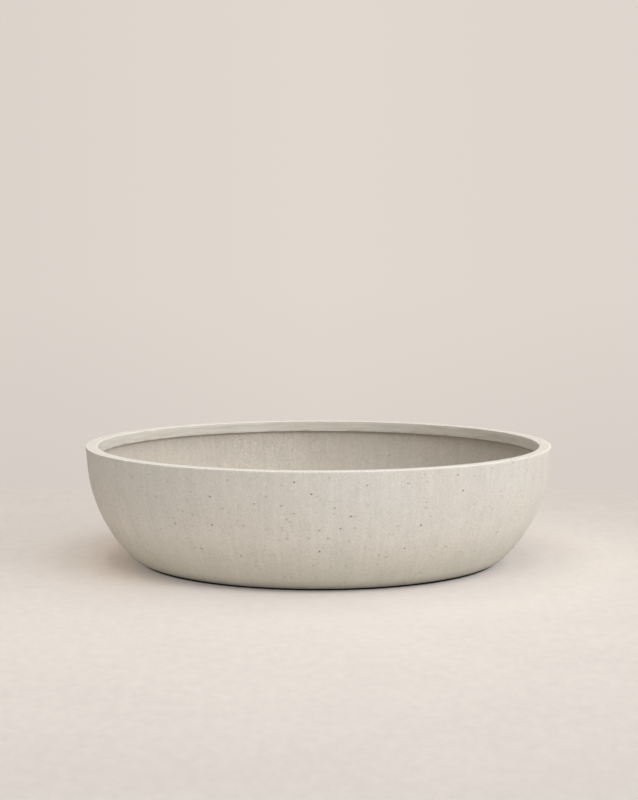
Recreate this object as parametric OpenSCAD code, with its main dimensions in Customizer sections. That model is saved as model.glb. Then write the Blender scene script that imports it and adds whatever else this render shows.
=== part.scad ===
// Low round planter bowl, cast in one piece with a thickened lip, on thin foot pads.
// A cast-in sleeve drains its floor. A plug closes the sleeve and a domed screen covers it.
// Millimetres. +Z is up. The origin is on the ground, in the middle of the base.

/* [Bowl] */
// Diameter over the lip
bowl_d = 800; // [770:5:850]
// Height from the ground to the top of the lip
bowl_h = 200; // [185:1:230]
// Diameter of the flat underside
base_d = 598; // [560:2:620]
// Radius of the outer edge between the underside and the side
heel_r = 38; // [25:1:50]
// Lean of the upper wall from upright, in degrees
draft = 5.2; // [3:0.1:7]
// Height of the straight upper wall, below the top of the lip
straight_h = 36; // [28:1:50]
// Thickness of the wall
wall_t = 12; // [10:0.5:15]

/* [Floor] */
// Thickness of the floor at its outer edge
floor_t = 20; // [18:0.5:26]
// Fall of the floor from its outer edge to the drain
floor_fall = 3; // [1:0.5:4]
// Radius inside, between the floor and the wall
inner_heel_r = 62; // [45:1:80]
// Width of the level ring of floor around the screen
drain_margin = 14; // [8:1:30]

/* [Lip] */
// Width of the lip across its flat top
lip_w = 21; // [19:0.5:30]
// Height of the lip's inner face
lip_h = 20; // [14:0.5:26]
// Radius of the two edges of the lip's top
lip_edge_r = 1.5; // [1:0.25:4]
// Radius of the lip's lower inner edge
lip_low_edge_r = 0.75; // [0.5:0.25:2]
// Radius of the corner between the wall and the lip's underside
lip_root_r = 2; // [1:0.5:4]

/* [Drain sleeve] */
// Bore of the sleeve
sleeve_bore_d = 38; // [30:1:44]
// Wall of the sleeve
sleeve_wall = 3; // [2:0.25:4]
// Width of the sleeve's flange beyond its tube
sleeve_flange_w = 14; // [12:0.5:18]
// Thickness of the sleeve's flange
sleeve_flange_t = 3; // [2:0.5:4]
// Bevel at the mouth of the sleeve
sleeve_bevel = 1.5; // [0.5:0.25:2.5]
// How far the sleeve ends above the underside
sleeve_short = 1; // [0.5:0.5:3]

/* [Drain plug] */
// Length of the tapered shank
plug_l = 12; // [8:0.5:12]
// Taper of the shank on its radius
plug_taper = 1; // [0.5:0.1:2]
// How far the head reaches over the sleeve's flange
plug_lap = 7; // [5:0.5:9]
// Thickness of the head
plug_head_t = 4; // [3:0.5:6]
// Height of the grip over the head
grip_h = 12; // [9:0.5:14]
// Width of the grip
grip_w = 26; // [16:1:32]
// Thickness of the grip's web
grip_t = 4; // [3:0.5:5]
// Diameter of the bead along the top of the grip
bead_d = 7; // [6:0.5:9]

/* [Drain screen] */
// Width of the screen's flange beyond its dome
screen_flange_w = 18; // [12:1:26]
// Thickness of the screen's flange
screen_flange_t = 3; // [2:0.5:4]
// Clear space beside the plug's head, inside the dome
dome_side_gap = 14; // [8:1:20]
// Clear space over the plug when it is lifted out of the sleeve
dome_top_gap = 4; // [2:0.5:8]
// Thickness of the dome
dome_t = 2.5; // [2:0.25:4]
// Outer radius of the dome's shoulder
dome_shoulder_r = 13; // [8:1:16]
// Number of slots
slot_count = 16; // [10:1:18]
// Width of a slot
slot_w = 4; // [3:0.25:5]
// Radius of the plain disc in the middle of the dome
dome_disc_r = 16; // [15:1:20]
// Height of the plain ring below the slots
dome_ring_h = 2; // [1:0.5:5]

/* [Foot pads] */
// Number of pads
pad_count = 6; // [4:1:8]
// Diameter of a pad
pad_d = 50; // [40:1:60]
// Thickness of a pad
pad_t = 5; // [4:0.5:8]
// Depth of the pad's pocket in the underside
pad_pocket = 2; // [1:0.5:3]
// Distance from the edge of the flat underside to a pad
pad_inset = 24; // [15:1:60]
// Bevel on a pad's lower edge
pad_bevel = 0.8; // [0.4:0.1:1.5]

/* [Fits] */
// Gap round a piece that sits in a recess
seat_gap = 0.3; // [0.2:0.05:0.5]

/* [Hidden] */
$fn = 96;
over = 1; // how far a cut runs past the face that it opens
arc_error = 0.03; // how far the chords of a drawn arc may lie inside it

// Heights
underside_z = pad_t - pad_pocket;
floor_z = underside_z + floor_t;
drain_floor_z = floor_z - floor_fall;
screen_seat_z = drain_floor_z - screen_flange_t;
sleeve_seat_z = screen_seat_z - sleeve_flange_t;
lip_under_z = bowl_h - lip_h;
pocket_z = underside_z + pad_pocket;

// Radii
rim_r = bowl_d / 2;
base_r = base_d / 2;
lip_in_r = rim_r - lip_w;
sleeve_bore_r = sleeve_bore_d / 2;
sleeve_r = sleeve_bore_r + sleeve_wall;
sleeve_flange_r = sleeve_r + sleeve_flange_w;
plug_shank_r = sleeve_bore_r - seat_gap;
plug_head_r = sleeve_bore_r + plug_lap;
dome_in_r = plug_head_r + dome_side_gap;
dome_r = dome_in_r + dome_t;
screen_r = dome_r + screen_flange_w;
drain_flat_r = screen_r + seat_gap + drain_margin;
pad_circle_r = base_r - pad_inset - pad_d / 2;

// The plug comes clear of the sleeve inside the dome, so the dome's height follows the plug
plug_lift = plug_l + 1;
plug_top_z = screen_seat_z + plug_head_t + grip_h;
dome_top_z = plug_top_z + plug_lift + dome_top_gap + dome_t;

// Outer side: a straight leaning wall, a belly arc tangent to it, and a heel arc tangent to
// the belly and to the underside. Each point is [distance from the axis, height].
function toward(a) = [cos(a), sin(a)];
function angle_of(v) = atan2(v[1], v[0]);
lip_out_c = [rim_r - lip_edge_r, bowl_h - lip_edge_r];
straight_top = lip_out_c + lip_edge_r * toward(-draft);
straight_end = straight_top - (straight_top[1] - bowl_h + straight_h) * [tan(draft), 1];
heel_c = [base_r, underside_z + heel_r];
heel_to_end = straight_end - heel_c;
belly_r = (heel_to_end * heel_to_end - heel_r * heel_r)
    / (2 * (heel_to_end * toward(-draft) - heel_r));
belly_c = straight_end - belly_r * toward(-draft);
heel_a = angle_of(heel_c - belly_c);

// Inner side: the same belly less the wall, and its own heel arc tangent to the floor
inner_belly_r = belly_r - wall_t;
inner_drop = belly_c[1] - floor_z - inner_heel_r;
inner_heel_c = [
    belly_c[0] + sqrt(pow(inner_belly_r - inner_heel_r, 2) - pow(inner_drop, 2)),
    floor_z + inner_heel_r
];
inner_heel_a = angle_of(inner_heel_c - belly_c);
inner_wall = belly_c + inner_belly_r * toward(-draft);

// Centres of the small arcs of the lip's inner side
lip_in_c = [lip_in_r + lip_edge_r, bowl_h - lip_edge_r];
lip_low_c = [lip_in_r + lip_low_edge_r, lip_under_z + lip_low_edge_r];
root_z = lip_under_z - lip_root_r;
root_c = [
    inner_wall[0] + ((root_z - inner_wall[1]) * sin(draft) - lip_root_r) / cos(draft),
    root_z
];

// Points on an arc about c from angle a1 to a2. Where the arc carries on from the point
// before it, first = 1 leaves out that shared point.
function arc(c, r, a1, a2, first = 0) =
    let (n = ceil(abs(a2 - a1) / (2 * acos(1 - arc_error / r))))
    [for (i = [first:n]) c + r * toward(a1 + (a2 - a1) * i / n)];

// Half section of the casting: up the outside, over the lip, and down the inside
module bowl_section() {
    polygon(concat(
        [[0, underside_z]],
        arc(heel_c, heel_r, -90, heel_a),
        arc(belly_c, belly_r, heel_a, -draft, first = 1),
        arc(lip_out_c, lip_edge_r, -draft, 90),
        arc(lip_in_c, lip_edge_r, 90, 180),
        arc(lip_low_c, lip_low_edge_r, 180, 270),
        arc(root_c, lip_root_r, 90, -draft),
        arc(belly_c, inner_belly_r, -draft, inner_heel_a),
        arc(inner_heel_c, inner_heel_r, inner_heel_a, -90, first = 1),
        [[drain_flat_r, drain_floor_z], [0, drain_floor_z]]
    ));
}

// Disc about the axis, from height z1 up to height z2
module disc(r, z1, z2) {
    translate([0, 0, z1])
        cylinder(r = r, h = z2 - z1);
}

// Places its children at pad number i
module at_pad(i) {
    rotate([0, 0, 360 / pad_count * (i - 0.5)])
        translate([pad_circle_r, 0, 0])
            children();
}

// The casting: side, lip and floor in one, with the drain's steps and the pads' pockets
module bowl_shell() {
    color("#cbc3b7")
        difference() {
            rotate_extrude()
                bowl_section();
            disc(screen_r + seat_gap, screen_seat_z, drain_floor_z + over);
            disc(sleeve_flange_r + seat_gap, sleeve_seat_z, screen_seat_z + over);
            disc(sleeve_r + seat_gap, underside_z - over, sleeve_seat_z + over);
            for (i = [1:pad_count])
                at_pad(i)
                    disc(pad_d / 2 + seat_gap, underside_z - over, pocket_z);
        }
}

// Plastic sleeve that lines the drain hole, hung from its flange
module drain_sleeve() {
    color("#3a3b3c")
        difference() {
            union() {
                disc(sleeve_flange_r, sleeve_seat_z, screen_seat_z);
                disc(sleeve_r, underside_z + sleeve_short, screen_seat_z - sleeve_flange_t / 2);
            }
            disc(sleeve_bore_r, underside_z - over, screen_seat_z + over);
            translate([0, 0, screen_seat_z - sleeve_bevel])
                cylinder(
                    r1 = sleeve_bore_r,
                    r2 = sleeve_bore_r + sleeve_bevel + over,
                    h = sleeve_bevel + over
                );
        }
}

// Rubber plug: a tapered shank, a head that sits on the sleeve's flange, and a grip
module drain_plug() {
    bead_z = plug_top_z - bead_d / 2;
    color("#2b2a29") {
        translate([0, 0, screen_seat_z - plug_l])
            cylinder(r1 = plug_shank_r - plug_taper, r2 = plug_shank_r, h = plug_l);
        disc(plug_head_r, screen_seat_z, screen_seat_z + plug_head_t);
        translate([-grip_w / 2, -grip_t / 2, screen_seat_z + plug_head_t / 2])
            cube([grip_w, grip_t, bead_z - screen_seat_z - plug_head_t / 2]);
        translate([-grip_w / 2, 0, bead_z])
            rotate([0, 90, 0])
                cylinder(d = bead_d, h = grip_w);
    }
}

// Domed screen over the drain, let into the floor by its flange
module drain_screen() {
    shoulder_c = [dome_r - dome_shoulder_r, dome_top_z - dome_shoulder_r];
    color("#4a4b4a")
        difference() {
            rotate_extrude()
                polygon(concat(
                    [
                        [dome_in_r, screen_seat_z],
                        [screen_r, screen_seat_z],
                        [screen_r, drain_floor_z],
                        [dome_r, drain_floor_z]
                    ],
                    arc(shoulder_c, dome_shoulder_r, 0, 90),
                    [[0, dome_top_z], [0, dome_top_z - dome_t]],
                    arc(shoulder_c, dome_shoulder_r - dome_t, 90, 0)
                ));
            for (i = [1:slot_count])
                rotate([0, 0, 360 / slot_count * i])
                    translate([dome_disc_r, -slot_w / 2, drain_floor_z + dome_ring_h])
                        cube([screen_r, slot_w, dome_top_z]);
        }
}

// Rubber pad set into the underside, which holds the casting off the ground
module foot_pad(i) {
    color("#262626")
        at_pad(i) {
            cylinder(r1 = pad_d / 2 - pad_bevel, r2 = pad_d / 2, h = pad_bevel);
            disc(pad_d / 2, pad_bevel, pad_t);
        }
}

bowl_shell();
drain_sleeve();
drain_plug();
drain_screen();
for (i = [1:pad_count])
    foot_pad(i);
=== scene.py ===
"""The looks of a low round planter bowl in glass-fibre concrete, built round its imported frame.

Lengths are in metres and angles in degrees. +Z is up and the bowl's axis is the Z axis. A
half section is a list of points (distance from the axis, height).
"""

import math
import random

import bmesh
import bpy
from mathutils import Matrix, Vector, geometry, noise


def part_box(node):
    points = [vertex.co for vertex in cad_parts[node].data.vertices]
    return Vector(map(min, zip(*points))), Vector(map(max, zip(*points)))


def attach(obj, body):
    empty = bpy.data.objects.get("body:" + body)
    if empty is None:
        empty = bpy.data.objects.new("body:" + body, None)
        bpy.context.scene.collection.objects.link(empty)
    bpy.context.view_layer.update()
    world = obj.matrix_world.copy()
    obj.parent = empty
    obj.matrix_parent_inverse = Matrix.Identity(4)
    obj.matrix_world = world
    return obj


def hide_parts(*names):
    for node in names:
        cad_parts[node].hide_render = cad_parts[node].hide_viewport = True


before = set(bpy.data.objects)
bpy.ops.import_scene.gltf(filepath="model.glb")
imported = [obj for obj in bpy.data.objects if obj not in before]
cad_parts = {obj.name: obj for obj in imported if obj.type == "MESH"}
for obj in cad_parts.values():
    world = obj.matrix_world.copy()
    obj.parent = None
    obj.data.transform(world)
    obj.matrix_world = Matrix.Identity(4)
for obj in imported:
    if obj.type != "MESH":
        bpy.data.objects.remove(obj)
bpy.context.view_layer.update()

# ---------------------------------------------------------------- sizes
# The casting, as it was drawn
SHELL_LOW, SHELL_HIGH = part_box("bowl_shell")
RIM_R = SHELL_HIGH.x
TOP_Z = SHELL_HIGH.z
UNDERSIDE_Z = SHELL_LOW.z
BASE_R = 0.299
HEEL_R = 0.038
DRAFT = 5.2
STRAIGHT_H = 0.036
WALL_T = 0.012
FLOOR_T = 0.020
FLOOR_FALL = 0.003
INNER_HEEL_R = 0.062
DRAIN_MARGIN = 0.014
LIP_W = 0.021
LIP_H = 0.020
LIP_EDGE_R = 0.0015
LIP_LOW_EDGE_R = 0.00075
LIP_ROOT_R = 0.002
LIP_UNDER_Z = TOP_Z - LIP_H
ZONES = ("outside", "lip", "band", "inside", "drain")

# The drain kit and the pads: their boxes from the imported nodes, and the sizes inside them.
# An ease is the rounding of an edge.
SLEEVE_LOW, SLEEVE_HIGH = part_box("drain_sleeve")
PLUG_LOW, PLUG_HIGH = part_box("drain_plug")
SCREEN_LOW, SCREEN_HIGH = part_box("drain_screen")
SEAT_GAP = 0.0003
SLEEVE_FLANGE_R = SLEEVE_HIGH.x
SLEEVE_FLANGE_T = 0.003
SLEEVE_BORE_R = 0.019
SLEEVE_R = 0.022
SLEEVE_BEVEL = 0.0015
SLEEVE_EASE = 0.0004
PLUG_HEAD_R = PLUG_HIGH.y
PLUG_HEAD_T = 0.004
PLUG_SHANK_R = 0.0187
PLUG_TAPER = 0.001
PLUG_GROOVES = (0.25, 0.5, 0.75)
PLUG_GROOVE_HALF_W = 0.0007
PLUG_GROOVE_DEPTH = 0.0005
PLUG_RIM_W = 0.0035
PLUG_DISH_FROM_EDGE = 0.0042
PLUG_DISH_DEPTH = 0.0006
PLUG_EASE = 0.0007
GRIP_W = 0.026
GRIP_T = 0.004
GRIP_BEAD_R = 0.0035
GRIP_EASE = 0.0014
# The fillet at the web's foot: (out from the web, up from the head)
GRIP_FOOT = [(0.0012, -0.001), (0.0012, 0.0), (0.0004, 0.0005), (0.0, 0.0016)]
SCREEN_R = 0.0605
SCREEN_FLANGE_T = 0.003
DOME_R = 0.0425
DOME_T = 0.0025
DOME_SHOULDER_R = 0.013
DOME_DISC_R = 0.016
DOME_RING_H = 0.002
SCREEN_DIMPLE_R = 0.007
SCREEN_DIMPLE_DEPTH = 0.0006
SCREEN_DIMPLE_SLOPE = 0.001
SCREEN_EASE = 0.0005
SLOT_EASE = 0.00035
SLOT_COUNT = 16
SLOT_W = 0.004
PAD_NODES = sorted(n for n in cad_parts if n.startswith("foot_pad_"))
PAD_POCKET = 0.002
PAD_BEVEL = 0.0008
PAD_EASE = 0.0004
PAD_DIMPLE_R = 0.003
PAD_DIMPLE_SLOPE = 0.0006
PAD_GROOVES = (0.38, 0.62, 0.84)
PAD_GROOVE_HALF_W = 0.0011
PAD_GROOVE_DEPTH = 0.0006

# How finely the meshes are drawn, and from what angle on an edge is hard
TURN_STEPS = 384
WALL_STEP = 0.0046
FLOOR_STEP = 0.007
SMALL_STEP = 0.0005
BEAD_STEP = 0.0008
SHOULDER_STEP = 0.0016
CORNER_STEPS = 3
CORNER_ROOM = 0.45
SLEEVE_STEPS = 160
PLUG_STEPS = 128
SCREEN_STEPS = 192
PAD_STEPS = 96
POCKET_STEPS = 72
SHARP_ANGLE = 32
MOULDED_SHARP_ANGLE = 50
FOLD_ANGLE = 60
BEVEL_ANGLE = 40
ON_AXIS = 1e-9

# The mesh of the flat underside: its spacing, and how clear it keeps of the edges
FILL_STEP = 0.016
FILL_ROW = 0.866
FILL_CLEAR_OF_POCKET = 0.006
FILL_CLEAR_OF_HOLE = 0.01
FILL_CLEAR_OF_EDGE = 0.008
SAME_POINT = 1e-7

# Hand finish: how far the surface wanders into the casting, and over what length. A part of it
# is a quicker ripple, and worn edges have small nicks.
WANDER = 0.0005
WANDER_SHARE = {"outside": 1.0, "lip": 0.5, "band": 0.8, "inside": 1.6}
WANDER_LENGTH = 0.09
RIPPLE_SHARE = 0.25
RIPPLE_LENGTH = 0.27 * WANDER_LENGTH
NICK = 0.0008
NICK_FROM = 0.15
NICK_LENGTH = 0.011

# ---------------------------------------------------------------- the photograph's camera
PHOTO_W = 638
PHOTO_H = 800
PHOTO_AXIS_X = 318.5
PHOTO_FOCAL = 1670.5
CAMERA_AT = Vector((0, -2.8785, 0.51914))
CAMERA_PITCH = 4.8733
SENSOR = 36.0

# Where a ray from it is followed to find the outer wall
RAY_FROM = 2.2
RAY_TO = 3.2
RAY_STEP = 0.0005

# Pinholes that stand out in the photograph, as (column, row), by size
LARGE_PINHOLES = [
    (294, 481), (311, 494), (210, 497), (175, 523), (202, 549), (242, 555), (458, 475),
    (463, 490), (351, 516), (421, 525), (404, 548), (420, 572), (327, 538), (319, 552),
    (212, 525), (340, 529),
]
SMALL_PINHOLES = [
    (254, 503), (281, 506), (293, 513), (286, 539), (156, 496), (267, 497), (244, 525),
    (161, 528), (319, 530), (309, 538), (174, 556), (313, 565), (285, 577), (110, 505),
    (193, 514), (367, 485), (408, 483), (335, 507), (426, 507), (349, 541), (447, 546),
    (497, 532), (386, 557), (345, 566), (476, 550), (227, 479), (223, 508), (142, 486),
]
LARGE_PINHOLE_R = 0.0012
SMALL_PINHOLE_R = 0.00085

# Pinholes that are scattered. On the outer wall they stay small where the photograph sees it,
# which is where the sine of the place round the bowl is below IN_VIEW_BELOW.
STRAY_COUNTS = {"outside": 420, "lip": 30, "inside": 200}
STRAY_R = 0.00035
STRAY_R_SPREAD = 0.0011
STRAY_R_IN_VIEW = 0.0006
STRAY_SHARE_INSIDE = 0.7
IN_VIEW_BELOW = -0.2
SEED = 11

# A pinhole's rings, from its rim down: share of its radius, share of its depth, and how much
# painted shade darkens the colour there.
# It is at most PIT_LARGEST of its quad, and PIT_MARGIN radii from the quad's edges.
PIT_SIDES = 8
PIT_RINGS = ((1.0, 0.0, 0.15), (0.82, 0.55, 1.0), (0.42, 0.92, 1.0))
PIT_LARGEST = 0.36
PIT_MARGIN = 1.25

# A rougher, trowelled place on the inside, left of the middle as the photograph sees it
PATCH_AT = (-0.105, 0.350, 0.135)
PATCH_R = 0.10


# ---------------------------------------------------------------- half sections
def toward(angle):
    """Unit vector at an angle from the radial direction, in the half section."""
    return Vector((math.cos(math.radians(angle)), math.sin(math.radians(angle))))


def angle_of(v):
    """Angle of a vector from the radial direction, in the half section."""
    return math.degrees(math.atan2(v[1], v[0]))


def arc(centre, radius, start, end, step):
    """Points along an arc, about step apart, both ends included."""
    count = max(3, math.ceil(radius * math.radians(abs(end - start)) / step))
    return [
        Vector(centre) + radius * toward(start + (end - start) * i / count)
        for i in range(count + 1)
    ]


def line(start, end, step):
    """Points along a straight line, about step apart, both ends included."""
    start, end = Vector(start), Vector(end)
    count = max(1, math.ceil((end - start).length / step))
    return [start.lerp(end, i / count) for i in range(count + 1)]


def casting_section():
    """The casting's half section as a list of (zone, points, edge mark), from the underside's
    edge up the outside, over the lip, down the inside and through the drain. The edge mark is
    1 on the lip's rounded edges, which get nicks of wear and are painted paler, partly as wear
    and partly as a painted highlight."""
    lip_out = Vector((RIM_R - LIP_EDGE_R, TOP_Z - LIP_EDGE_R))
    straight_top = lip_out + LIP_EDGE_R * toward(-DRAFT)
    fall = straight_top[1] - TOP_Z + STRAIGHT_H
    straight_end = straight_top - fall * Vector((math.tan(math.radians(DRAFT)), 1))
    heel = Vector((BASE_R, UNDERSIDE_Z + HEEL_R))
    v = straight_end - heel
    belly_r = (v.dot(v) - HEEL_R**2) / (2 * (v.dot(toward(-DRAFT)) - HEEL_R))
    belly = straight_end - belly_r * toward(-DRAFT)
    heel_angle = angle_of(heel - belly)

    floor_z = UNDERSIDE_Z + FLOOR_T
    drain_floor_z = floor_z - FLOOR_FALL
    inner_r = belly_r - WALL_T
    drop = belly[1] - floor_z - INNER_HEEL_R
    reach = math.sqrt((inner_r - INNER_HEEL_R) ** 2 - drop**2)
    inner_heel = Vector((belly[0] + reach, floor_z + INNER_HEEL_R))
    inner_heel_angle = angle_of(inner_heel - belly)
    inner_wall = belly + inner_r * toward(-DRAFT)

    lip_in_r = RIM_R - LIP_W
    lip_in = Vector((lip_in_r + LIP_EDGE_R, TOP_Z - LIP_EDGE_R))
    lip_low = Vector((lip_in_r + LIP_LOW_EDGE_R, LIP_UNDER_Z + LIP_LOW_EDGE_R))
    root_z = LIP_UNDER_Z - LIP_ROOT_R
    lean = (root_z - inner_wall[1]) * math.sin(math.radians(DRAFT)) - LIP_ROOT_R
    root = Vector((inner_wall[0] + lean / math.cos(math.radians(DRAFT)), root_z))

    edge_points = arc(lip_out, LIP_EDGE_R, -DRAFT, 90, SMALL_STEP)
    inner_edge = arc(lip_in, LIP_EDGE_R, 90, 180, SMALL_STEP)
    low_edge = arc(lip_low, LIP_LOW_EDGE_R, 180, 270, SMALL_STEP)
    root_points = arc(root, LIP_ROOT_R, 90, -DRAFT, SMALL_STEP)

    seat_r = SCREEN_R + SEAT_GAP
    flat_r = seat_r + DRAIN_MARGIN
    seat_z = SCREEN_LOW.z
    flange_r = SLEEVE_FLANGE_R + SEAT_GAP
    flange_z = seat_z - SLEEVE_FLANGE_T
    hole_r = SLEEVE_R + SEAT_GAP
    return [
        ("outside", arc(heel, HEEL_R, -90, heel_angle, WALL_STEP), 0),
        ("outside", arc(belly, belly_r, heel_angle, -DRAFT, WALL_STEP), 0),
        ("outside", line(straight_end, edge_points[0], WALL_STEP), 0),
        ("lip", edge_points, 1),
        ("lip", line(edge_points[-1], inner_edge[0], WALL_STEP), 0),
        ("lip", inner_edge, 1),
        ("band", line(inner_edge[-1], low_edge[0], WALL_STEP), 0),
        ("band", low_edge, 1),
        ("inside", line(low_edge[-1], root_points[0], SMALL_STEP), 0),
        ("inside", root_points, 0),
        ("inside", line(root_points[-1], inner_wall, WALL_STEP), 0),
        ("inside", arc(belly, inner_r, -DRAFT, inner_heel_angle, WALL_STEP), 0),
        ("inside", arc(inner_heel, INNER_HEEL_R, inner_heel_angle, -90, WALL_STEP), 0),
        ("inside", line((inner_heel[0], floor_z), (flat_r, drain_floor_z), FLOOR_STEP), 0),
        ("drain", line((flat_r, drain_floor_z), (seat_r, drain_floor_z), FLOOR_STEP), 0),
        ("drain", line((seat_r, drain_floor_z), (seat_r, seat_z), FLOOR_STEP), 0),
        ("drain", line((seat_r, seat_z), (flange_r, seat_z), FLOOR_STEP), 0),
        ("drain", line((flange_r, seat_z), (flange_r, flange_z), FLOOR_STEP), 0),
        ("drain", line((flange_r, flange_z), (hole_r, flange_z), FLOOR_STEP), 0),
        ("drain", line((hole_r, flange_z), (hole_r, UNDERSIDE_Z), FLOOR_STEP), 0),
    ]


class Rings:
    """The casting's section as rings: a radius, a height, a normal and an edge mark each, and the
    zone of the strip from each ring to the next. The edge mark stands for wear and a painted
    highlight."""

    def __init__(self, section):
        self.points = [section[0][1][0]]
        self.zones = []
        self.wear_and_highlight = [section[0][2]]
        for zone, points, wear_and_highlight in section:
            self.points += points[1:]
            self.zones += [zone] * (len(points) - 1)
            self.wear_and_highlight += [wear_and_highlight] * (len(points) - 1)
        self.normals = []
        for i in range(len(self.points)):
            before = self.points[max(i - 1, 0)]
            after = self.points[min(i + 1, len(self.points) - 1)]
            run = (after - before).normalized()
            self.normals.append(Vector((run[1], -run[0])))

    def turn_at(self, i):
        """Angle by which the section turns at ring i."""
        if i in (0, len(self.points) - 1):
            return 90.0
        a = self.points[i] - self.points[i - 1]
        b = self.points[i + 1] - self.points[i]
        return math.degrees(a.angle(b))


# ---------------------------------------------------------------- mesh helpers
def finish_mesh(bm, name, materials):
    """Turns a bmesh into a linked object with smooth faces and these material slots."""
    mesh = bpy.data.meshes.new(name)
    for face in bm.faces:
        face.smooth = True
    bm.to_mesh(mesh)
    bm.free()
    for material in materials:
        mesh.materials.append(material)
    obj = bpy.data.objects.new(name, mesh)
    bpy.context.scene.collection.objects.link(obj)
    return obj


def mark_sharp(bm, angle):
    """Makes every edge that turns by more than angle a hard one."""
    for edge in bm.edges:
        if len(edge.link_faces) == 2 and edge.calc_face_angle(0) > math.radians(angle):
            edge.smooth = False


def spin(section, steps, centre=(0, 0)):
    """A closed lathe mesh from a half section that starts and ends on the axis, or that
    closes on itself."""
    bm = bmesh.new()
    closed = section[0][0] > ON_AXIS
    rings = []
    for radius, height in section:
        if radius < ON_AXIS:
            rings.append([bm.verts.new((centre[0], centre[1], height))])
            continue
        ring = []
        for j in range(steps):
            a = 2 * math.pi * j / steps
            x = centre[0] + radius * math.cos(a)
            y = centre[1] + radius * math.sin(a)
            ring.append(bm.verts.new((x, y, height)))
        rings.append(ring)
    pairs = list(zip(rings, rings[1:]))
    if closed:
        pairs.append((rings[-1], rings[0]))
    for low, high in pairs:
        for j in range(steps):
            k = (j + 1) % steps
            corners = [low[j % len(low)], low[k % len(low)]]
            corners += [high[k % len(high)], high[j % len(high)]]
            unique = list(dict.fromkeys(corners))
            if len(unique) > 2:
                bm.faces.new(unique)
    bmesh.ops.recalc_face_normals(bm, faces=bm.faces)
    return bm


def rounded(points, radius, closed=True):
    """The polygon with each corner drawn as a short arc, no larger than its sides allow."""
    out = []
    count = len(points)
    for i in range(count):
        here = Vector(points[i])
        if not closed and i in (0, count - 1):
            out.append(here)
            continue
        before = Vector(points[i - 1]) - here
        after = Vector(points[(i + 1) % count]) - here
        half = before.angle(after) / 2
        room = CORNER_ROOM * min(before.length, after.length)
        cut = min(radius / math.tan(half), room)
        start = here + before.normalized() * cut
        end = here + after.normalized() * cut
        for step in range(CORNER_STEPS + 1):
            t = step / CORNER_STEPS
            out.append((1 - t) ** 2 * start + 2 * t * (1 - t) * here + t * t * end)
    return out


def boolean(target, tool, operation):
    """Applies one boolean to target and removes the tool."""
    modifier = target.modifiers.new("boolean", "BOOLEAN")
    modifier.object = tool
    modifier.operation = operation
    modifier.solver = "EXACT"
    graph = bpy.context.evaluated_depsgraph_get()
    mesh = bpy.data.meshes.new_from_object(target.evaluated_get(graph))
    target.modifiers.clear()
    old = target.data
    target.data = mesh
    bpy.data.meshes.remove(old)
    bpy.data.objects.remove(tool)


def soften(obj, width):
    """Rounds the hard edges of a moulded piece."""
    bevel = obj.modifiers.new("soften", "BEVEL")
    bevel.width = width
    bevel.segments = 2
    bevel.limit_method = "ANGLE"
    bevel.angle_limit = math.radians(BEVEL_ANGLE)
    bevel.harden_normals = True


# ---------------------------------------------------------------- the casting
def photo_ray(column, row):
    """Direction through the middle of a pixel of the photograph."""
    pitch = math.radians(CAMERA_PITCH)
    forward = Vector((0, math.cos(pitch), -math.sin(pitch)))
    up = Vector((0, math.sin(pitch), math.cos(pitch)))
    right = (column - PHOTO_AXIS_X) / PHOTO_FOCAL
    rise = (PHOTO_H / 2 - row - 0.5) / PHOTO_FOCAL
    return forward + right * Vector((1, 0, 0)) + rise * up


def seen_on_outside(rings, column, row):
    """The (strip, turn, along, around) where a pixel's ray meets the outer wall: the strip
    and step that it falls in, and its place inside that quad."""
    outside = [i for i, zone in enumerate(rings.zones) if zone == "outside"]
    ray = photo_ray(column, row)
    reach = RAY_FROM
    while reach < RAY_TO:
        p = CAMERA_AT + reach * ray
        radius = math.hypot(p.x, p.y)
        for i in outside:
            a, b = rings.points[i], rings.points[i + 1]
            if a[1] <= p.z < b[1]:
                along = (p.z - a[1]) / (b[1] - a[1])
                if radius <= a[0] + (b[0] - a[0]) * along:
                    turn = math.atan2(p.y, p.x) / (2 * math.pi) % 1 * TURN_STEPS
                    return i, int(turn), along, turn - int(turn)
        reach += RAY_STEP
    return None


def scatter_pinholes(rings, draw):
    """Places pinholes: {(strip, turn): (radius, along, around)}. The photograph's own come
    first, then small ones all over, fewer on the lip and the inside."""
    holes = {}
    for radius, pixels in (
        (LARGE_PINHOLE_R, LARGE_PINHOLES),
        (SMALL_PINHOLE_R, SMALL_PINHOLES),
    ):
        for column, row in pixels:
            found = seen_on_outside(rings, column, row)
            if found:
                strip, turn, along, around = found
                size = radius * draw.uniform(0.9, 1.1)
                holes[strip, turn] = (size, along, around)
    for zone, count in STRAY_COUNTS.items():
        strips = [i for i, z in enumerate(rings.zones) if z == zone]
        sizes = [(rings.points[i + 1] - rings.points[i]).length for i in strips]
        weights = [rings.points[i][0] * s for i, s in zip(strips, sizes)]
        for _ in range(count):
            strip = draw.choices(strips, weights)[0]
            turn = draw.randrange(TURN_STEPS)
            radius = STRAY_R + STRAY_R_SPREAD * draw.random() ** 3
            in_view = math.sin(2 * math.pi * turn / TURN_STEPS) < IN_VIEW_BELOW
            if zone == "outside" and in_view:
                radius = min(radius, STRAY_R_IN_VIEW)
            if zone == "inside":
                radius *= STRAY_SHARE_INSIDE
            place = (radius, draw.random(), draw.random())
            holes.setdefault((strip, turn), place)
    return holes


def wander(point, normal, amount, wear_and_highlight):
    """A point moved into the casting by a slow unevenness, and on an edge by small nicks."""
    slow = noise.noise(point / WANDER_LENGTH)
    quick = noise.noise(point / RIPPLE_LENGTH)
    depth = amount * (0.5 + 0.5 * ((1 - RIPPLE_SHARE) * slow + RIPPLE_SHARE * quick))
    nick = wear_and_highlight * NICK * max(noise.noise(point / NICK_LENGTH) - NICK_FROM, 0)
    return point - normal * (max(depth, 0) + nick)


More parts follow.
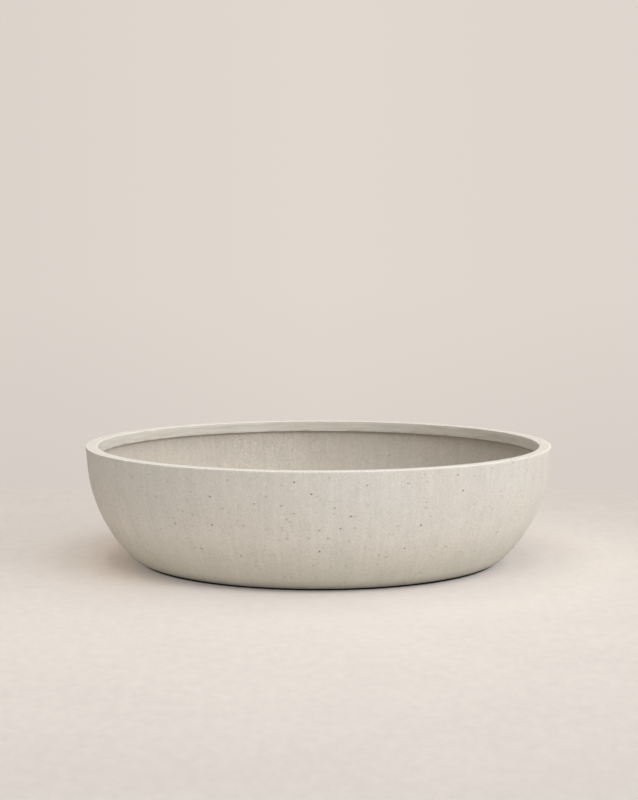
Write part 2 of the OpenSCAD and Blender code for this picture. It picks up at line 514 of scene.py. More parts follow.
def pinhole(bm, pit_shade_layer, corners, hole, draw):
    """Fills one quad of the wall with a round pit, with painted shade marked on its rings and
    bottom.
    """
    radius, along, around = hole
    a, b, c, d = (v.co for v in corners)
    across = ((b - a).length + (c - d).length) / 2
    up = ((d - a).length + (c - b).length) / 2
    radius = min(radius, PIT_LARGEST * across, PIT_LARGEST * up)
    side_room = PIT_MARGIN * radius / across
    end_room = PIT_MARGIN * radius / up
    s0 = min(max(around, side_room), 1 - side_room)
    t0 = min(max(along, end_room), 1 - end_room)
    normal = (b - a).cross(d - a).normalized()
    depth = radius * draw.uniform(1.3, 1.9)
    stretch = draw.uniform(0.85, 1.15)
    jitter = [draw.uniform(0.88, 1.1) for _ in range(PIT_SIDES)]

    def ring(share, sink, dark):
        verts = []
        for k in range(PIT_SIDES):
            angle = math.radians(225 + 360 * k / PIT_SIDES)
            s = s0 + share * jitter[k] * stretch * radius * math.cos(angle) / across
            t = t0 + share * jitter[k] / stretch * radius * math.sin(angle) / up
            p = a.lerp(b, s).lerp(d.lerp(c, s), t)
            vert = bm.verts.new(p - normal * sink * depth)
            vert[pit_shade_layer] = dark
            verts.append(vert)
        return verts

    rim, middle, low = (ring(*sizes) for sizes in PIT_RINGS)
    bottom = bm.verts.new(a.lerp(b, s0).lerp(d.lerp(c, s0), t0) - normal * depth)
    bottom[pit_shade_layer] = 1.0
    faces = []
    for side in range(4):
        first, last = corners[side], corners[(side + 1) % 4]
        r0, r1, r2 = (rim[(2 * side + k) % PIT_SIDES] for k in range(3))
        faces.append(bm.faces.new((first, last, r1)))
        faces.append(bm.faces.new((first, r1, r0)))
        faces.append(bm.faces.new((last, r2, r1)))
    for k in range(PIT_SIDES):
        m = (k + 1) % PIT_SIDES
        faces.append(bm.faces.new((rim[k], rim[m], middle[m], middle[k])))
        faces.append(bm.faces.new((middle[k], middle[m], low[m], low[k])))
        faces.append(bm.faces.new((low[k], low[m], bottom)))
        bm.edges.get((rim[k], rim[m])).smooth = False
    return faces


def circle_points(centre, radius, count):
    """Points evenly round a circle."""
    return [
        Vector((
            centre[0] + radius * math.cos(2 * math.pi * k / count),
            centre[1] + radius * math.sin(2 * math.pi * k / count),
        ))
        for k in range(count)
    ]


def underside(bm, outer, inner, pads, slot):
    """The flat underside between two rings of the lathe, with a pocket for each pad."""
    verts = list(outer) + list(inner)
    flat = [Vector((v.co.x, v.co.y)) for v in verts]
    edges = [(k, (k + 1) % TURN_STEPS) for k in range(TURN_STEPS)]
    edges += [(TURN_STEPS + i, TURN_STEPS + j) for i, j in edges]
    pockets = []
    for centre, radius in pads:
        start = len(flat)
        flat += circle_points(centre, radius + SEAT_GAP, POCKET_STEPS)
        edges += [(start + k, start + (k + 1) % POCKET_STEPS) for k in range(POCKET_STEPS)]
        pockets.append((start, centre, radius + SEAT_GAP))
    reach = math.ceil(BASE_R / FILL_STEP)
    low, high = SLEEVE_R + FILL_CLEAR_OF_HOLE, BASE_R - FILL_CLEAR_OF_EDGE
    for i in range(-reach, reach + 1):
        for j in range(-reach, reach + 1):
            p = Vector((i + 0.5 * (j % 2), j * FILL_ROW)) * FILL_STEP
            gaps = [(p - Vector(c)).length - r for _, c, r in pockets]
            if min(gaps) > FILL_CLEAR_OF_POCKET and low < p.length < high:
                flat.append(p)
    result = geometry.delaunay_2d_cdt(flat, edges, [], 0, SAME_POINT)
    places, triangles, sources_of = result[0], result[2], result[3]
    made = {}
    for k, p in enumerate(places):
        known = next((s for s in sources_of[k] if s < len(verts)), None)
        made[k] = verts[known] if known is not None else bm.verts.new((p.x, p.y, UNDERSIDE_Z))
    hole_r = inner[0].co.to_2d().length
    for tri in triangles:
        middle = sum((places[k] for k in tri), Vector((0, 0))) / 3
        in_pocket = any((middle - Vector(c)).length < r for _, c, r in pockets)
        if not in_pocket and middle.length > hole_r * math.cos(math.pi / TURN_STEPS):
            face = bm.faces.new([made[k] for k in reversed(tri)])
            face.material_index = slot
    index_of = {s: k for k, sources in enumerate(sources_of) for s in sources}
    for start, _, _ in pockets:
        rim = [made[index_of[start + k]] for k in range(POCKET_STEPS)]
        roof = [bm.verts.new((v.co.x, v.co.y, UNDERSIDE_Z + PAD_POCKET)) for v in rim]
        for k in range(POCKET_STEPS):
            m = (k + 1) % POCKET_STEPS
            bm.faces.new((rim[m], rim[k], roof[k], roof[m])).material_index = slot
        bm.faces.new(list(reversed(roof))).material_index = slot


def pad_place(node):
    """Centre and radius of a pad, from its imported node."""
    low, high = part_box(node)
    middle = (low + high) / 2
    return (middle.x, middle.y), (high.y - low.y) / 2


def make_casting(finishes):
    """The whole casting as one closed mesh, with its pinholes."""
    draw = random.Random(SEED)
    rings = Rings(casting_section())
    holes = scatter_pinholes(rings, draw)
    slots = {name: k for k, name in enumerate(finishes)}
    bm = bmesh.new()
    pit_shade_layer = bm.verts.layers.float.new("pit")
    arris = bm.verts.layers.float.new("arris")
    grid = []
    for i, (radius, height) in enumerate(rings.points):
        zone = rings.zones[min(i, len(rings.zones) - 1)]
        amount = 0 if i == 0 else WANDER * WANDER_SHARE.get(zone, 0)
        row = []
        for j in range(TURN_STEPS):
            a = 2 * math.pi * j / TURN_STEPS
            point = Vector((radius * math.cos(a), radius * math.sin(a), height))
            out, rise = rings.normals[i]
            normal = Vector((out * math.cos(a), out * math.sin(a), rise))
            vert = bm.verts.new(wander(point, normal, amount, rings.wear_and_highlight[i]))
            # The rounded edges are marked, for wear and for a painted highlight.
            vert[arris] = rings.wear_and_highlight[i]
            row.append(vert)
        grid.append(row)
    for i, zone in enumerate(rings.zones):
        for j in range(TURN_STEPS):
            k = (j + 1) % TURN_STEPS
            corners = (grid[i][j], grid[i][k], grid[i + 1][k], grid[i + 1][j])
            if (i, j) in holes and zone != "drain":
                made = pinhole(bm, pit_shade_layer, corners, holes[i, j], draw)
            else:
                made = [bm.faces.new(corners)]
            for face in made:
                face.material_index = slots[zone]
    for i in range(len(rings.points)):
        if rings.turn_at(i) > SHARP_ANGLE:
            for j in range(TURN_STEPS):
                bm.edges.get((grid[i][j], grid[i][(j + 1) % TURN_STEPS])).smooth = False
    pads = [pad_place(node) for node in PAD_NODES]
    underside(bm, grid[0], grid[-1], pads, slots["drain"])
    mark_sharp(bm, FOLD_ANGLE)
    casting = finish_mesh(bm, "bowl_casting", finishes.values())
    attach(casting, "planter")
    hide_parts("bowl_shell")


# ---------------------------------------------------------------- the drain kit
def make_sleeve(material):
    """The flanged sleeve, with its edges eased."""
    top, low = SLEEVE_HIGH.z, SLEEVE_LOW.z
    outline = [
        (SLEEVE_BORE_R, low), (SLEEVE_R, low), (SLEEVE_R, top - SLEEVE_FLANGE_T),
        (SLEEVE_FLANGE_R, top - SLEEVE_FLANGE_T), (SLEEVE_FLANGE_R, top),
        (SLEEVE_BORE_R + SLEEVE_BEVEL, top), (SLEEVE_BORE_R, top - SLEEVE_BEVEL),
    ]
    bm = spin(rounded(outline, SLEEVE_EASE), SLEEVE_STEPS)
    mark_sharp(bm, SHARP_ANGLE)
    sleeve = finish_mesh(bm, "sleeve_moulding", [material])
    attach(sleeve, "planter")
    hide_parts("drain_sleeve")


def make_grip(head_z):
    """The plug's grip: a web with a bead along its top, and a round edge at both ends."""
    bead_z = PLUG_HIGH.z - GRIP_BEAD_R
    half = GRIP_T / 2
    neck = angle_of((half, -math.sqrt(GRIP_BEAD_R**2 - half**2)))
    bead = arc((0, bead_z), GRIP_BEAD_R, neck, 180 - neck, BEAD_STEP)
    foot = [(half + out, head_z + up) for out, up in GRIP_FOOT]
    mirrored = [(-y, z) for y, z in reversed(foot)]
    section = foot + [tuple(p) for p in bead] + mirrored
    bm = bmesh.new()
    loops = []
    ends = [(-1, 90), (-1, 60), (-1, 30), (-1, 0), (1, 0), (1, 30), (1, 60), (1, 90)]
    for side, turn in ends:
        out, rise = toward(turn)
        x = side * (GRIP_W / 2 - GRIP_EASE * (1 - rise))
        scale = 1 - GRIP_EASE / GRIP_BEAD_R * (1 - out)
        loop = []
        for y, z in section:
            height = (z - bead_z) * (scale if z > bead_z else 1)
            loop.append(bm.verts.new((x, y * scale, bead_z + height)))
        loops.append(loop)
    for first, last in zip(loops, loops[1:]):
        for k in range(len(first)):
            m = (k + 1) % len(first)
            bm.faces.new((first[k], first[m], last[m], last[k]))
    bm.faces.new(reversed(loops[0]))
    bm.faces.new(loops[-1])
    bmesh.ops.recalc_face_normals(bm, faces=bm.faces)
    mark_sharp(bm, MOULDED_SHARP_ANGLE)
    return bm


def make_plug(material):
    """The rubber plug: a grooved, tapered shank, a head and the grip."""
    seat = SLEEVE_HIGH.z
    low = PLUG_LOW.z
    length = seat - low
    top = seat + PLUG_HEAD_T
    dish = top - PLUG_DISH_DEPTH
    outline = [(0, low), (PLUG_SHANK_R - PLUG_TAPER, low)]
    for share in PLUG_GROOVES:
        radius = PLUG_SHANK_R - PLUG_TAPER * (1 - share)
        z = low + length * share
        outline += [
            (radius, z - PLUG_GROOVE_HALF_W), (radius - PLUG_GROOVE_DEPTH, z),
            (radius, z + PLUG_GROOVE_HALF_W),
        ]
    outline += [
        (PLUG_SHANK_R, seat), (PLUG_HEAD_R, seat), (PLUG_HEAD_R, top),
        (PLUG_HEAD_R - PLUG_RIM_W, top), (PLUG_HEAD_R - PLUG_DISH_FROM_EDGE, dish), (0, dish),
    ]
    bm = spin(rounded(outline, PLUG_EASE, closed=False), PLUG_STEPS)
    mark_sharp(bm, MOULDED_SHARP_ANGLE)
    plug = finish_mesh(bm, "plug_moulding", [material])
    grip = finish_mesh(make_grip(dish), "grip", [material])
    boolean(plug, grip, "UNION")
    for face in plug.data.polygons:
        face.use_smooth = True
    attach(plug, "plug")
    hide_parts("drain_plug")


def make_screen(material):
    """The domed screen: a flange, and a drum with a round shoulder and slots all round."""
    seat, floor, top = SCREEN_LOW.z, SCREEN_LOW.z + SCREEN_FLANGE_T, SCREEN_HIGH.z
    shoulder = (DOME_R - DOME_SHOULDER_R, top - DOME_SHOULDER_R)
    outer = arc(shoulder, DOME_SHOULDER_R, 90, 0, SHOULDER_STEP)
    inner = arc(shoulder, DOME_SHOULDER_R - DOME_T, 0, 90, SHOULDER_STEP)
    dimple_z = top - SCREEN_DIMPLE_DEPTH
    dimple = [(0, dimple_z), (SCREEN_DIMPLE_R - SCREEN_DIMPLE_SLOPE, dimple_z)]
    dimple += [(SCREEN_DIMPLE_R, top)]
    body = [(DOME_R, floor), (SCREEN_R, floor), (SCREEN_R, seat), (DOME_R - DOME_T, seat)]
    section = [*dimple, *outer, *rounded(body, SCREEN_EASE, closed=False), *inner]
    bm = spin([*section, (0, top - DOME_T)], SCREEN_STEPS)
    screen = finish_mesh(bm, "screen_moulding", [material])
    cutter = bmesh.new()
    slot_low = floor + DOME_RING_H
    length = SCREEN_R - DOME_DISC_R
    for k in range(SLOT_COUNT):
        place = Matrix.Rotation(2 * math.pi * k / SLOT_COUNT, 4, "Z")
        place @= Matrix.Translation((DOME_DISC_R + length / 2, 0, slot_low + top / 2))
        place @= Matrix.Diagonal((length, SLOT_W, top, 1))
        bmesh.ops.create_cube(cutter, size=1, matrix=place)
    boolean(screen, finish_mesh(cutter, "slots", [material]), "DIFFERENCE")
    soften(screen, SLOT_EASE)
    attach(screen, "screen")
    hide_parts("drain_screen")


def make_pad(node, material):
    """A rubber pad with rounded edges, and a dimple and ring grooves under it."""
    centre, radius = pad_place(node)
    low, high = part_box(node)
    dimple_z, groove_z = low.z + PAD_BEVEL, low.z + PAD_GROOVE_DEPTH
    outline = [(0, dimple_z), (PAD_DIMPLE_R, dimple_z)]
    outline += [(PAD_DIMPLE_R + PAD_DIMPLE_SLOPE, low.z)]
    for share in PAD_GROOVES:
        groove = radius * share
        outline += [
            (groove - PAD_GROOVE_HALF_W, low.z), (groove - PAD_GROOVE_DEPTH, groove_z),
            (groove + PAD_GROOVE_DEPTH, groove_z), (groove + PAD_GROOVE_HALF_W, low.z),
        ]
    outline += [(radius - PAD_BEVEL, low.z), (radius, low.z + PAD_BEVEL)]
    outline += [(radius, high.z), (0, high.z)]
    bm = spin(rounded(outline, PAD_EASE, closed=False), PAD_STEPS, centre)
    mark_sharp(bm, FOLD_ANGLE)
    pad = finish_mesh(bm, node + "_rubber", [material])
    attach(pad, "planter")
    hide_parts(node)


# ---------------------------------------------------------------- materials
class Nodes:
    """A node tree whose nodes are added by short calls. Sockets and plain numbers both work
    as inputs."""

    # The mix node's colour sockets, which share their names with its other kinds of socket
    MIX_COLOURS = (6, 7)
    MIX_RESULT = 2

    def __init__(self, tree, coordinates):
        self.tree = tree
        self.place = self.add("ShaderNodeTexCoord").outputs[coordinates]

    def add(self, kind, inputs=None, **settings):
        """A new node with these inputs and settings."""
        made = self.tree.nodes.new(kind)
        for name, value in settings.items():
            setattr(made, name, value)
        for key, value in (inputs or {}).items():
            self.feed(made.inputs[key], value)
        return made

    def feed(self, socket, value):
        """Links a socket to an input, or sets the input to a plain value."""
        if isinstance(value, bpy.types.NodeSocket):
            self.tree.links.new(value, socket)
        else:
            socket.default_value = value

    def math(self, operation, a, b=0.0, c=0.0):
        return self.add("ShaderNodeMath", {0: a, 1: b, 2: c}, operation=operation).outputs[0]

    def vector(self, operation, a, b=(0.0, 0.0, 0.0)):
        """A vector math node's (vector, value) outputs."""
        return self.add("ShaderNodeVectorMath", {0: a, 1: b}, operation=operation).outputs[:]

    def scaled(self, vector, by):
        return self.vector("MULTIPLY", vector, by)[0]

    def noise(self, feature, detail=2.0, roughness=0.5, at=None, distortion=0.0):
        """Noise from 0 to 1 whose blotches are about feature metres wide."""
        inputs = {
            "Vector": at or self.place, "Scale": 1 / feature, "Detail": detail,
            "Roughness": roughness, "Distortion": distortion,
        }
        return self.add("ShaderNodeTexNoise", inputs).outputs["Fac"]

    def specks(self, feature, share, size):
        """Small round specks, one at most in each cell of feature metres, in a share of the
        cells. size counts in cells."""
        made = self.add("ShaderNodeTexVoronoi", {"Vector": self.place, "Scale": 1 / feature})
        chosen = self.math("LESS_THAN", self.parts(made.outputs["Color"])[0], share)
        disc = self.remap(made.outputs["Distance"], size, 1.6 * size, 1.0, 0.0)
        return self.product(disc, chosen)

    def remap(self, value, low, high, to_low=0.0, to_high=1.0):
        inputs = {
            "Value": value, "From Min": low, "From Max": high,
            "To Min": to_low, "To Max": to_high,
        }
        return self.add("ShaderNodeMapRange", inputs).outputs[0]

    def swing(self, noise, low, amount):
        """The noise from low to 1 - low, spread out from minus to plus this amount."""
        return self.remap(noise, low, 1 - low, -amount, amount)

    def mix(self, factor, a, b, blend="MIX"):
        made = self.add("ShaderNodeMix", data_type="RGBA", blend_type=blend)
        self.feed(made.inputs["Factor"], factor)
        for index, colour in zip(self.MIX_COLOURS, (a, b)):
            self.feed(made.inputs[index], colour)
        return made.outputs[self.MIX_RESULT]

    def brightened(self, colour, value):
        return self.add("ShaderNodeHueSaturation", {"Value": value, "Color": colour}).outputs[0]

    def total(self, *terms):
        out = terms[0]
        for term in terms[1:]:
            out = self.math("ADD", out, term)
        return out

    def product(self, *factors):
        out = factors[0]
        for factor in factors[1:]:
            out = self.math("MULTIPLY", out, factor)
        return out

    def parts(self, vector):
        return self.add("ShaderNodeSeparateXYZ", {0: vector}).outputs[:]

    def length(self, x, y):
        return self.math("SQRT", self.total(self.product(x, x), self.product(y, y)))

    def around(self, turns, rise):
        """Coordinates that run round the axis turns times as finely as they run up it."""
        x, y, z = self.parts(self.place)
        radius = self.math("MAXIMUM", self.length(x, y), 0.001)
        parts = {
            0: self.product(self.math("DIVIDE", x, radius), turns),
            1: self.product(self.math("DIVIDE", y, radius), turns),
            2: self.product(z, rise),
        }
        return self.add("ShaderNodeCombineXYZ", parts).outputs[0]

    def attribute(self, name):
        return self.add("ShaderNodeAttribute", attribute_name=name).outputs["Fac"]

    def seen_by_camera(self):
        return self.add("ShaderNodeLightPath").outputs["Is Camera Ray"]


class Shader(Nodes):
    """A material on a Principled BSDF."""

    def __init__(self, name, roughness, specular=0.5):
        self.material = bpy.data.materials.new(name)
        self.material.use_nodes = True
        super().__init__(self.material.node_tree, "Object")
        self.surface = self.tree.nodes["Principled BSDF"]
        self.surface.inputs["Roughness"].default_value = roughness
        self.surface.inputs["Specular IOR Level"].default_value = specular

    def colour(self, socket):
        self.feed(self.surface.inputs["Base Color"], socket)

    def bump(self, height, distance, strength=1.0):
        inputs = {"Height": height, "Distance": distance, "Strength": strength}
        self.feed(self.surface.inputs["Normal"], self.add("ShaderNodeBump", inputs).outputs[0])

    def clear_to_camera(self, amount):
        """Lets the camera, and nothing else, see through the surface by this amount."""
        amount = self.product(amount, self.seen_by_camera())
        clear = self.add("ShaderNodeBsdfTransparent").outputs[0]
        mixed = self.add("ShaderNodeMixShader", {0: amount, 1: self.surface.outputs[0], 2: clear})
        self.feed(self.tree.nodes["Material Output"].inputs["Surface"], mixed.outputs[0])


# The zones are one concrete; the inside's warmer colour is partly painted shade.
OUTSIDE_COLOUR = (0.680, 0.634, 0.569, 1)
INSIDE_COLOUR = (0.688, 0.623, 0.538, 1)
BAND_COLOUR = (0.684, 0.634, 0.560, 1)
LIP_COLOUR = (0.690, 0.633, 0.561, 1)
COOL_TINT = (0.965, 0.985, 1.0, 1)
# A painted shade tint for the foot of the outer wall
HEEL_SHADE_TINT = (0.987, 1.0, 0.96, 1)
# The pits' dark colour is painted shade.
PIT_SHADE_COLOUR = (0.115, 0.088, 0.062, 1)
DUST_COLOUR = (0.36, 0.335, 0.30, 1)
EDGE_WEAR_AND_HIGHLIGHT = 0.12


def concrete(
    name, colour, tone, streaks=0.0, brush=0.0, trowel=0.0, speckle=0.05, mottle=0.06,
    under_lip_shade=0.0, patch=0.0, heel=0.0,
):
    """Pale cast concrete. streaks run up the wall, brush runs round it, trowel is patchy,
    speckle is sand, mottle is the slow cloudiness that every face has, undercut is how dark
    the painted shade just below the lip is, patch is one rougher place, and heel is how much
    painted shade darkens the wall towards the ground. With brush the band is also painted
    lighter low down and dark along its lowest edge, as painted light and shade. With undercut
    the wall inside also gets painted shade towards one side. Rounded edges are paler, partly
    as wear and partly as a painted highlight."""
    s = Shader(name, 0.9, 0.28)
    cloud = s.noise(0.16, 3, 0.55)
    blotch = s.noise(0.035, 3, 0.6, distortion=0.3)
    grain = s.noise(0.0040, 3, 0.75)
    sand = s.noise(0.0016, 2, 0.8)
    base = s.mix(s.remap(cloud, 0.35, 0.65), colour, s.mix(1.0, colour, COOL_TINT, "MULTIPLY"))
    terms = [
        tone,
        s.swing(cloud, 0.3, 0.35 * mottle),
        s.swing(blotch, 0.3, 0.5 * mottle),
        s.swing(grain, 0.25, 1.2 * speckle),
        s.swing(sand, 0.25, speckle),
        s.product(s.specks(0.0055, 0.30, 0.12), -1.6 * speckle),
        s.product(s.specks(0.0047, 0.30, 0.13), 1.5 * speckle),
    ]
    relief = [s.product(grain, 0.5), s.product(sand, 0.35)]
    x, _, z = s.parts(s.place)
    if streaks:
        fine = s.noise(0.0065, 2, 0.5, at=s.around(0.4, 0.10))
        broad = s.noise(0.03, 2, 0.5, at=s.around(0.4, 0.12))
        terms += [s.swing(fine, 0.25, streaks), s.swing(broad, 0.25, 0.6 * streaks)]
        relief.append(s.product(fine, 0.6))
    if brush:
        level = s.around(0.016, 1.0)
        fine, broad = s.noise(0.0022, 2, 0.5, at=level), s.noise(0.006, 2, 0.5, at=level)
        above = s.math("SUBTRACT", z, LIP_UNDER_Z)
        # Painted light and shade: the band is painted lighter towards its lowest edge, and dark
        # along that edge itself.
        painted_light_low = s.remap(above, 0.0, 0.012, 0.045, 0.0)
        painted_shade_edge = s.remap(above, 0.0003, 0.0014, -0.30, 0.0)
        terms += [s.swing(fine, 0.25, brush), s.swing(broad, 0.25, 0.7 * brush)]
        terms += [painted_light_low, painted_shade_edge]
        relief.append(s.product(fine, 0.8))
    if trowel:
        scrape = s.noise(0.012, 3, 0.6, distortion=1.2)
        strength = s.remap(s.noise(0.11, 1, 0.5), 0.4, 0.6, 0.3, 1.0)
        terms.append(s.product(s.swing(scrape, 0.3, trowel), strength))
        relief.append(s.product(scrape, 1.2))
    if patch:
        away = s.vector("DISTANCE", s.place, PATCH_AT)[1]
        mask = s.remap(away, 0.6 * PATCH_R, PATCH_R, 1.0, 0.0)
        curl = s.noise(0.0065, 2, 0.6, distortion=2.4)
        rough = s.product(s.swing(curl, 0.3, patch), mask)
        terms += [rough, s.product(mask, 0.5 * patch)]
        relief.append(s.product(rough, 10.0))
    value = s.total(*terms)
    # Painted shade: the inside is painted dark just below the lip, under its overhang.
    if under_lip_shade:
        dark = s.remap(z, LIP_UNDER_Z - 0.006, LIP_UNDER_Z - 0.001, 0.0, under_lip_shade)
        # Painted shade: the inside is painted up to 5% darker towards +x.
        painted_shade_side = s.remap(x, -0.05, 0.33, 1.0, 0.95)
        value = s.product(value, s.math("SUBTRACT", 1.0, dark), painted_shade_side)
    # Painted shade: the outer wall is painted darker and a little yellower towards the ground,
    # most along its lowest edge, as the shade near the floor.
    if heel:
        heel_shade_tinted = s.mix(1.0, base, HEEL_SHADE_TINT, "MULTIPLY")
        base = s.mix(s.remap(z, 0.03, 0.10, 1.0, 0.0), base, heel_shade_tinted)
        low = s.remap(z, 0.015, 0.09, 1 - heel, 1.0)
        edge = s.remap(z, 0.003, 0.022, 1 - 1.6 * heel, 1.0)
        contact_shade = s.remap(z, 0.0035, 0.0125, 1 - 2.3 * heel, 1.0)
        value = s.product(value, low, edge, contact_shade)
    # Rounded edges are painted paler: partly wear, partly a painted highlight.
    value = s.total(value, s.product(s.attribute("arris"), EDGE_WEAR_AND_HIGHLIGHT))
    shade = s.brightened(base, value)
    # The pits are mixed towards a dark colour: painted shade in the recesses.
    s.colour(s.mix(s.attribute("pit"), shade, PIT_SHADE_COLOUR))
    s.bump(s.total(*relief), 0.00022, 0.8)
    s.feed(s.surface.inputs["Roughness"], s.remap(blotch, 0.3, 0.7, 0.82, 0.95))
    return s.material


def moulded(name, colour, roughness, dusting):
    """Rubber or plastic from a mould: fine grain, and a thin pale dust with single motes."""
    s = Shader(name, roughness, 0.4)
    patches = s.noise(0.045, 4, 0.7)
    skin = s.noise(0.0009, 2, 0.6)
    motes = s.specks(0.0016, 0.35, 0.16)
    film = s.remap(patches, 0.35, 0.7, 0.02, dusting)
    tinted = s.mix(s.total(film, s.product(motes, dusting)), colour, DUST_COLOUR)
    s.colour(s.brightened(tinted, s.remap(skin, 0.25, 0.75, 0.9, 1.1)))
    dull = s.remap(patches, 0.3, 0.7, roughness - 0.08, roughness + 0.12)
    s.feed(s.surface.inputs["Roughness"], dull)
    s.bump(skin, 0.00006, 0.7)
    return s.material


def make_materials():
    """Every material of the part, by what it is for."""
    # The tones carry painted shade: all the zones are one pour, but the inside and underside are
    # written about a fifth darker than the outside, and a little warmer, and the band and lip
    # about a tenth darker.
    return {
        "outside": concrete(
            "concrete_outside", OUTSIDE_COLOUR, 1.065, streaks=0.036, speckle=0.085, mottle=0.06,
            heel=0.20,
        ),
        "lip": concrete("concrete_lip", LIP_COLOUR, 0.975, speckle=0.12, mottle=0.03),
        "band": concrete(
            "concrete_band", BAND_COLOUR, 0.95, brush=0.10, speckle=0.035, mottle=0.04,
        ),
        "inside": concrete(
            "concrete_inside", INSIDE_COLOUR, 0.845, streaks=0.03, trowel=0.035,
            speckle=0.075, mottle=0.05, under_lip_shade=0.35, patch=0.12,
        ),
        "drain": concrete(
            "concrete_underside", INSIDE_COLOUR, 0.845, trowel=0.03, speckle=0.04, mottle=0.08,
        ),
        "sleeve": moulded("sleeve_plastic", (0.022, 0.023, 0.024, 1), 0.45, 0.08),
        "plug": moulded("plug_rubber", (0.012, 0.012, 0.0115, 1), 0.70, 0.07),
        "screen": moulded("screen_plastic", (0.036, 0.038, 0.036, 1), 0.48, 0.11),
        "pad": moulded("pad_rubber", (0.010, 0.010, 0.010, 1), 0.78, 0.10),
    }


# ---------------------------------------------------------------- the studio
PAPER = (0.784, 0.719, 0.655, 1)
# PAPER_NEAR and PAPER_IN_SHADE are painted shade tints for the paper near the bowl.
PAPER_NEAR = (0.772, 0.722, 0.683, 1)
PAPER_IN_SHADE = (0.796, 0.708, 0.630, 1)
DAYLIGHT = (0.985, 1.0, 1.035)
WINDOW_GLOW = (1.28, 1.305, 1.355, 1)
BACKGROUND = (0.757, 0.690, 0.633, 1)

# The floor fades out for the camera from FLOOR_FADE to COVE_START behind the bowl's axis, and
# from FADE_NEAR to FADE_FAR all round
FLOOR_FADE = 0.5
FADE_NEAR = 1.45
FADE_FAR = 2.3
COVE_START = 0.9
COVE_R = 1.6
COVE_STEPS = 24
STAGE_HALF = 3.2
WALL_H = 4.0

# The background's darkest line and the floor's fading below it, as heights of the direction
# in which they are seen
WALL_FOOT = -0.133
FLOOR_SEEN = -0.156
FOOT_SHADE = 0.931

LIGHTS_AIM = Vector((0, 0, 0.1))


def paper():
    """The paper of the set. Its tone varies slowly, as in the photograph, with painted light and
    shade in it, and the floor fades out far from the bowl, so that the set has no edge in any
    view."""
    s = Shader("backdrop_paper", 0.95, 0.1)
    x, y, z = s.parts(s.place)
    # Painted light and shade in the paper's tone: lighter up and on the wall and far beyond the
    # lamps, darker towards the wall's foot, towards the camera and on the key's side.
    up_the_wall = s.remap(z, 0.0, 1.4, 0.895, 1.08)
    on_the_wall = s.remap(y, 0.9, 1.5, 1.0, 1.04)
    towards_the_wall = s.remap(y, -0.35, 1.0, 1.0, 0.955)
    towards_the_camera = s.remap(y, -1.5, -0.6, 0.87, 1.0)
    towards_the_key = s.remap(x, 0.12, 0.50, 1.0, 0.95)
    distance = s.length(s.math("ADD", x, 0.035), y)
    close = s.remap(distance, 0.335, 0.50, 1.0, 0.0)
    # Painted light: the floor close to the bowl is lifted, paling the bowl's shadow.
    painted_light_near_bowl = s.math("MULTIPLY_ADD", s.product(close, close), 0.36, 1.0)
    # Painted shadow: the paper under the bowl's footprint is near-black.
    widened = s.vector("LENGTH", s.scaled(s.place, (0.975, 1.0, 1.0)))[1]
    painted_shadow_under_bowl = s.remap(widened, 0.2965, 0.302, 0.02, 1.0)
    outwards = s.math("MAXIMUM", s.math("ABSOLUTE", x), s.product(y, -1.0))
    out_of_the_light = s.remap(outwards, 1.4, 2.6, 1.0, 1.4)
    cloud = s.remap(s.noise(0.16, 4, 0.55), 0.3, 0.7, 0.985, 1.015)
    rough = s.noise(0.010, 4, 0.65, at=s.scaled(s.place, (0.6, 0.35, 1.0)))
    depth = s.remap(z, 0.0, 0.3, 0.034, 0.016)
    fibre = s.math("MULTIPLY_ADD", s.swing(rough, 0.3, 1.0), depth, 1.0)
    value = s.product(
        up_the_wall, on_the_wall, towards_the_wall, towards_the_camera, towards_the_key,
        out_of_the_light, painted_light_near_bowl, painted_shadow_under_bowl, cloud, fibre,
    )
    # Painted shade tint: near the bowl, and most at its left, the paper is tinted as shade.
    at_the_left = s.product(close, s.remap(x, -0.33, -0.20, 1.0, 0.0))
    tint = s.mix(at_the_left, s.mix(close, PAPER, PAPER_NEAR), PAPER_IN_SHADE)
    s.colour(s.brightened(tint, value))
    behind = s.remap(y, FLOOR_FADE, COVE_START)
    s.clear_to_camera(s.math("MAXIMUM", behind, s.remap(distance, FADE_NEAR, FADE_FAR)))
    return s.material


def sheet(name, profile, material):
    """A sheet as wide as the set, bent to a profile of (y, z)."""
    bm = bmesh.new()
    sides = []
    for x in (-STAGE_HALF, STAGE_HALF):
        sides.append([bm.verts.new((x, y, z)) for y, z in profile])
    for k in range(len(profile) - 1):
        bm.faces.new((sides[0][k], sides[1][k], sides[1][k + 1], sides[0][k + 1]))
    made = finish_mesh(bm, name, [material])
    return made


def make_backdrop():
    """The floor, and a cove and wall that throw light back but hide nothing from a camera
    behind them: what the camera sees past the floor is the world's own background."""
    material = paper()
    sheet("floor", [(-STAGE_HALF, 0.0), (COVE_START, 0.0)], material)
    bend = []
    for i in range(COVE_STEPS + 1):
        a = math.radians(90 * i / COVE_STEPS)
        bend.append((COVE_START + COVE_R * math.sin(a), COVE_R * (1 - math.cos(a))))
    wall = sheet("wall", [*bend, (COVE_START + COVE_R, WALL_H)], material)
    wall.visible_camera = False


def soft_light(name, azimuth, elevation, distance, size, power, colour=(1, 1, 1)):
    """A square softbox aimed at the bowl. Azimuth is counted from the camera's side, towards
    the right."""
    light = bpy.data.lights.new(name, "AREA")
    light.shape = "SQUARE"
    light.size = size
    light.energy = power
    light.color = colour
    obj = bpy.data.objects.new(name, light)
    a, e = math.radians(azimuth), math.radians(elevation)
    away = Vector((math.sin(a) * math.cos(e), -math.cos(a) * math.cos(e), math.sin(e)))
    obj.location = LIGHTS_AIM + distance * away
    obj.rotation_euler = away.to_track_quat("Z", "Y").to_euler()
    bpy.context.scene.collection.objects.link(obj)
    return obj


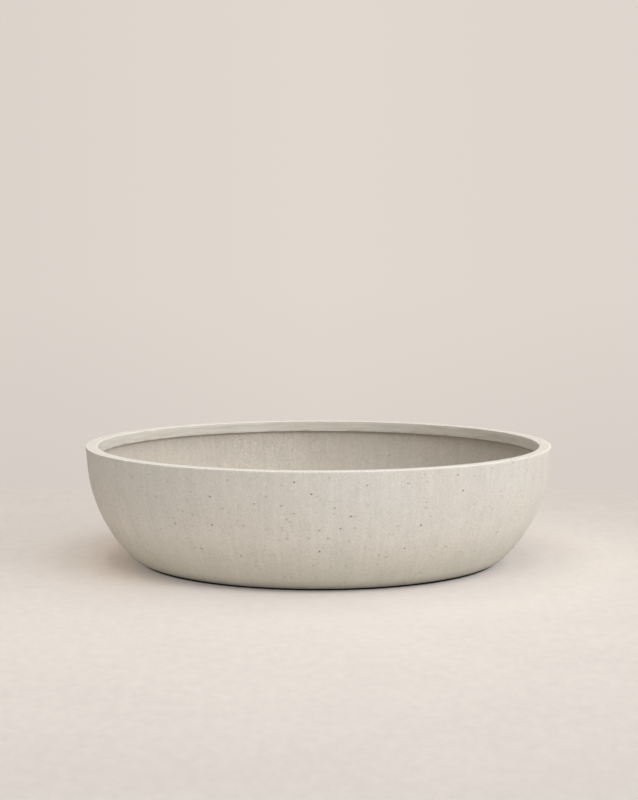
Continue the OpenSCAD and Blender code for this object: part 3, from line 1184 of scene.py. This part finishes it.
def make_world():
    """The glow of a window on the right, and for the camera a paper wall with painted shade,
    darkest where it meets the floor and a little darker towards its sides."""
    world = bpy.data.worlds.new("studio")
    world.use_nodes = True
    s = Nodes(world.node_tree, "Generated")
    x, _, z = s.parts(s.place)
    glow = s.brightened(WINDOW_GLOW, s.remap(x, 0.0, 1.0))
    # Painted shade on the camera's background: darkest at the wall's foot, darker to each side.
    down_the_wall = s.remap(z, WALL_FOOT, -0.02, FOOT_SHADE, 1.0)
    out_on_the_floor = s.remap(z, FLOOR_SEEN, WALL_FOOT, 1.0, FOOT_SHADE)
    left = s.remap(x, -0.17, 0.0, 0.948, 1.0)
    right = s.remap(x, 0.0, 0.17, 1.0, 0.97)
    value = s.product(s.math("MAXIMUM", down_the_wall, out_on_the_floor), left, right)
    background = s.brightened(BACKGROUND, value)
    seen = s.mix(s.seen_by_camera(), glow, background)
    s.feed(s.tree.nodes["Background"].inputs["Color"], seen)
    bpy.context.scene.world = world


def make_lights():
    """Softboxes above, on the right, in front and low on the left. The fill casts no shadow:
    it keeps the ground close to the bowl as pale as in the photograph. It lies just above the
    top light, because lamps in exactly one place lose part of their light."""
    soft_light("top", azimuth=0, elevation=89, distance=3.0, size=2.4, power=37.5)
    fill = soft_light("top_fill", azimuth=0, elevation=89, distance=3.1, size=2.4, power=31)
    fill.data.use_shadow = False
    soft_light("key", azimuth=45, elevation=25, distance=3.3, size=1.2, power=23, colour=DAYLIGHT)
    soft_light("front_high", azimuth=0, elevation=55, distance=3.4, size=2.0, power=20)
    soft_light("floor_left", azimuth=-40, elevation=4, distance=2.6, size=0.5, power=8.6)


def make_camera():
    """The photograph's camera. Its shift puts the bowl's axis where the photograph has it."""
    data = bpy.data.cameras.new("photo_camera")
    data.sensor_width = SENSOR
    data.lens = PHOTO_FOCAL * SENSOR / PHOTO_H
    data.shift_x = (PHOTO_W / 2 - PHOTO_AXIS_X) / PHOTO_H
    camera = bpy.data.objects.new("photo_camera", data)
    camera.location = CAMERA_AT
    camera.rotation_euler = (math.radians(90 - CAMERA_PITCH), 0, 0)
    bpy.context.scene.collection.objects.link(camera)
    bpy.context.scene.camera = camera


def main():
    make_camera()
    materials = make_materials()
    make_casting({zone: materials[zone] for zone in ZONES})
    make_sleeve(materials["sleeve"])
    make_plug(materials["plug"])
    make_screen(materials["screen"])
    for node in PAD_NODES:
        make_pad(node, materials["pad"])
    make_backdrop()
    make_world()
    make_lights()
    bpy.context.scene.view_settings.view_transform = "Standard"


main()
